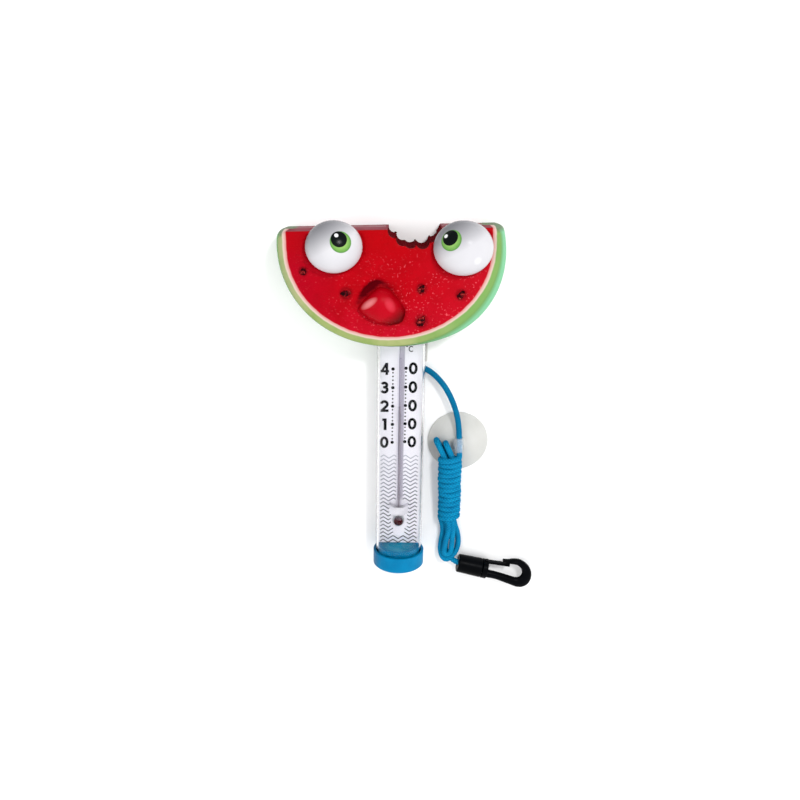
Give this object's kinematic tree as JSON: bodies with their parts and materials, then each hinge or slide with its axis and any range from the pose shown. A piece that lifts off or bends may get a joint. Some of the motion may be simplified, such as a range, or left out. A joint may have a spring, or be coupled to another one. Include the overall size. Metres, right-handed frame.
{
  "type": "floating pool thermometer",
  "caption": "Pool thermometer with a melon-slice float, clear scale tube, weighted cap, braided tether with suction cup and swivel snap hook.",
  "frame": {"origin": "middle of the float and tube, on the surface that the object lies on", "axes": "+Z the way the face looks, +Y towards the top of the float, +X to the face's right in the view"},
  "size_m": [0.1468, 0.221, 0.0438],
  "materials": {
    "melon_shell": "painted, fine grain",
    "rind_shell": "satin",
    "eye_white": "high gloss",
    "nose_red": "high gloss",
    "seed_brown": "gloss",
    "clear_tube": "clear",
    "white_plastic": "satin",
    "printed_card": "printed",
    "clear_glass": "clear",
    "red_spirit": "liquid",
    "blue_plastic": "satin",
    "seal_rubber": "matte",
    "steel": "brushed",
    "blue_cord": "braided",
    "clear_soft": "translucent",
    "black_plastic": "satin"
  },
  "bodies": {
    "float": {"front_shell": "melon_shell", "back_shell": "rind_shell", "eye_left": "eye_white", "eye_right": "eye_white", "nose": "nose_red", "seeds": "seed_brown", "tube": "clear_tube", "top_plug": "white_plastic", "scale_card": "printed_card", "glass_capillary": "clear_glass", "spirit_fill": "red_spirit", "capillary_loop": "clear_glass", "bulb_saddle": "white_plastic", "bottom_cap": "blue_plastic", "cap_seal": "seal_rubber", "ballast_weight": "steel", "spigot_lid": "blue_plastic", "tether_lug": "clear_soft", "tether_knot": "blue_cord", "cord_free": "blue_cord", "cord_hank": "blue_cord", "cord_tail": "blue_cord", "swivel_barrel": "black_plastic", "cord_stopper": "blue_cord"},
    "cup": {"suction_cup": "clear_soft"},
    "hook": {"snap_hook": "black_plastic"},
    "gate": {"hook_gate": "black_plastic"}
  },
  "joints": [
    {"name": "cup_slide", "type": "slide", "parent": "float", "child": "cup", "axis": [-0.0593, 0.9982, 0], "range_m": [0, 0.005]},
    {"name": "hook_swivel", "type": "hinge", "parent": "float", "child": "hook", "pos_m": [0.04154, -0.105, 0.00595], "axis": [0.9755, -0.2199, 0], "continuous": true},
    {"name": "gate_hinge", "type": "hinge", "parent": "hook", "child": "gate", "pos_m": [0.0594, -0.104, 0.00595], "axis": [0, 0, 1], "range_deg": [-18, 0], "stiffness_Nm_per_rad": 0.05, "springref_deg": 5.73}
  ]
}
